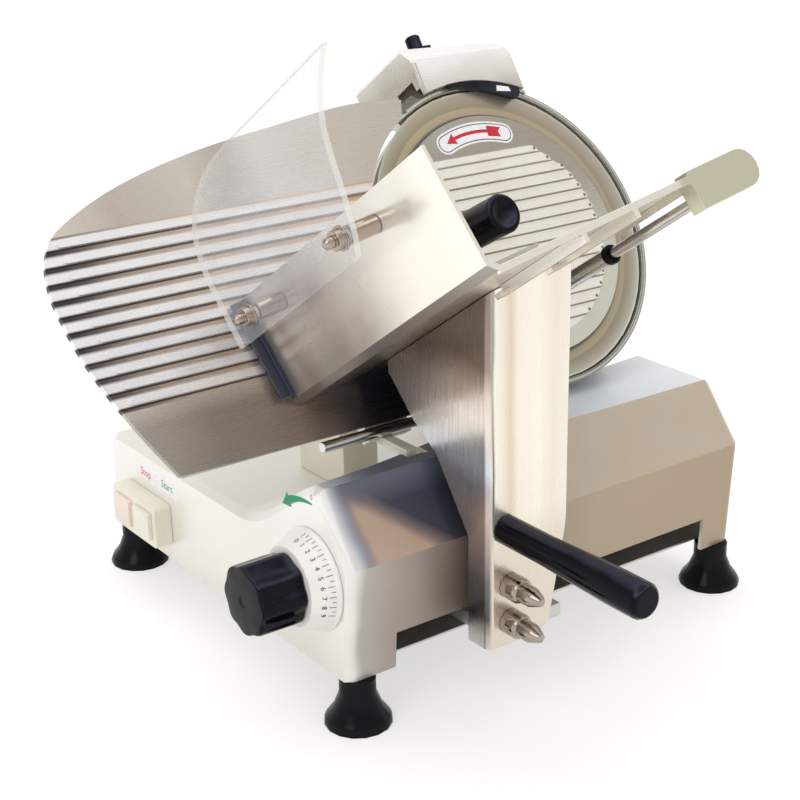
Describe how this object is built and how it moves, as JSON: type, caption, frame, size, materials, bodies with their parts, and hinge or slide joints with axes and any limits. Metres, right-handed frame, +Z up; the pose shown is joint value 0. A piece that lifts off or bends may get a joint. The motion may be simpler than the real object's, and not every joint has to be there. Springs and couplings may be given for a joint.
{
  "type": "meat slicer",
  "caption": "Counter-top food slicer with a tilted round blade, a sliding carriage with food tray and pusher, a gauge plate set by a dial, and a stone sharpener.",
  "frame": {"origin": "under the middle of the machine's bounding box, on the surface that the four feet stand on", "axes": "+X runs along the carriage travel from the front panel with the dial to the rear, +Y goes from the carriage side to the motor side and +Z is up"},
  "size_m": [0.4628, 0.4818, 0.4349],
  "materials": {
    "cast_body": "cast and clear-coated, softly polished",
    "polished_sheet": "mirror polished with fine grinding lines",
    "satin_plate": "satin, brushed along the ribs",
    "bright_steel": "bright, fine turned lines",
    "black_grip": "glossy black, lightly scuffed",
    "black_rubber": "matt black, dusty",
    "cream_plastic": "satin cream",
    "white_plastic": "satin white",
    "clear_guard": "clear, lightly scratched",
    "grey_stone": "coarse abrasive",
    "bush_bronze": "oiled bearing bronze",
    "belt_rubber": "matt black"
  },
  "bodies": {
    "base": {"base_casting": "cast_body", "bottom_cover": "satin_plate", "foot_front_near": "black_rubber", "foot_front_far": "black_rubber", "foot_rear_near": "black_rubber", "foot_rear_far": "black_rubber", "slide_bar": "bright_steel", "slide_bar_clamp_front": "satin_plate", "slide_bar_clamp_rear": "satin_plate", "switch_box": "cream_plastic", "blade_guard_ring": "satin_plate", "blade_housing": "cast_body", "pulley_case": "cast_body", "bearing_front": "bright_steel", "bearing_rear": "bright_steel", "drive_belt": "belt_rubber", "motor": "satin_plate", "motor_cover": "cast_body", "blade_cover": "satin_plate", "cover_tie_rod": "bright_steel", "cover_tie_knob": "black_grip", "gauge_guide_bar": "bright_steel", "gauge_guide_block": "cream_plastic", "cord_inlet": "black_grip"},
    "blade": {"blade": "bright_steel", "blade_spindle": "bright_steel", "blade_pulley": "satin_plate"},
    "motor_rotor": {"motor_shaft": "bright_steel", "motor_pulley": "satin_plate"},
    "gauge": {"gauge_plate": "satin_plate", "gauge_bracket": "cream_plastic", "gauge_hinge_rod": "bright_steel"},
    "dial": {"thickness_dial": "white_plastic", "dial_knob": "black_grip", "dial_shaft": "bright_steel", "gauge_cam": "satin_plate"},
    "carriage": {"carriage_block": "satin_plate", "slide_bush_front": "bush_bronze", "slide_bush_rear": "bush_bronze", "carriage_arm": "polished_sheet", "carriage_handle": "black_grip", "handle_stud": "bright_steel", "acorn_nut_upper": "bright_steel", "acorn_nut_lower": "bright_steel", "food_tray": "polished_sheet", "clear_guard": "clear_guard", "guard_stud_1": "bright_steel", "guard_stud_2": "bright_steel", "pusher_rod": "bright_steel"},
    "pusher_carrier": {"pusher_sleeve": "bright_steel", "sleeve_bumper": "black_rubber"},
    "pusher": {"pusher": "satin_plate", "pusher_knob": "black_grip", "pusher_knob_screw": "bright_steel"},
    "start_button": {"start_button": "white_plastic"},
    "stop_button": {"stop_button": "white_plastic"},
    "sharpener": {"sharpener_hood": "polished_sheet"},
    "sharpener_lock": {"sharpener_knob": "black_grip"},
    "sharpening_stone": {"sharpening_stone": "grey_stone"},
    "deburring_stone": {"deburring_stone": "grey_stone"}
  },
  "joints": [
    {"name": "carriage_slide", "type": "slide", "parent": "base", "child": "carriage", "axis": [1, 0, 0], "range_m": [-0.053, 0.159]},
    {"name": "pusher_slide", "type": "slide", "parent": "carriage", "child": "pusher_carrier", "axis": [0, -0.829, 0.5592], "range_m": [-0.032, 0.084]},
    {"name": "pusher_tilt", "type": "hinge", "parent": "pusher_carrier", "child": "pusher", "pos_m": [0.07063, -0.03596, 0.23385], "axis": [0, -0.829, 0.5592], "range_deg": [-100, 0]},
    {"name": "dial_turn", "type": "hinge", "parent": "base", "child": "dial", "pos_m": [-0.12164, -0.04715, 0.093], "axis": [1, 0, 0], "range_deg": [0, 240]},
    {"name": "gauge_slide", "type": "slide", "parent": "base", "child": "gauge", "axis": [0, -0.829, 0.5592], "range_m": [-0.012, 0]},
    {"name": "blade_spin", "type": "hinge", "parent": "base", "child": "blade", "pos_m": [0.11636, 0.04585, 0.255], "axis": [0, -0.829, 0.5592], "continuous": true},
    {"name": "motor_spin", "type": "hinge", "parent": "base", "child": "motor_rotor", "pos_m": [0.11636, 0.04164, 0.19511], "axis": [0, -0.829, 0.5592], "continuous": true},
    {"name": "start_press", "type": "slide", "parent": "base", "child": "start_button", "axis": [1, 0, 0], "range_m": [0, 0.0025], "stiffness_N_per_m": 400},
    {"name": "stop_press", "type": "slide", "parent": "base", "child": "stop_button", "axis": [1, 0, 0], "range_m": [0, 0.0025], "stiffness_N_per_m": 400},
    {"name": "sharpener_lift", "type": "slide", "parent": "base", "child": "sharpener", "axis": [0, 0.5592, 0.829], "range_m": [0, 0.02]},
    {"name": "sharpener_lock_turn", "type": "hinge", "parent": "sharpener", "child": "sharpener_lock", "pos_m": [0.09936, 0.13497, 0.37461], "axis": [0, 0.5592, 0.829], "range_deg": [-90, 0]},
    {"name": "sharpening_press", "type": "slide", "parent": "sharpener", "child": "sharpening_stone", "axis": [0, -0.829, 0.5592], "range_m": [0, 0.005], "stiffness_N_per_m": 200},
    {"name": "deburring_press", "type": "slide", "parent": "sharpener", "child": "deburring_stone", "axis": [0, -0.829, 0.5592], "range_m": [0, 0.005], "stiffness_N_per_m": 200}
  ],
  "couplings": [
    {"joint": "dial_turn", "follows": "gauge_slide", "rad_per_m": -349.06},
    {"joint": "motor_spin", "follows": "blade_spin", "ratio": 2.4407}
  ]
}
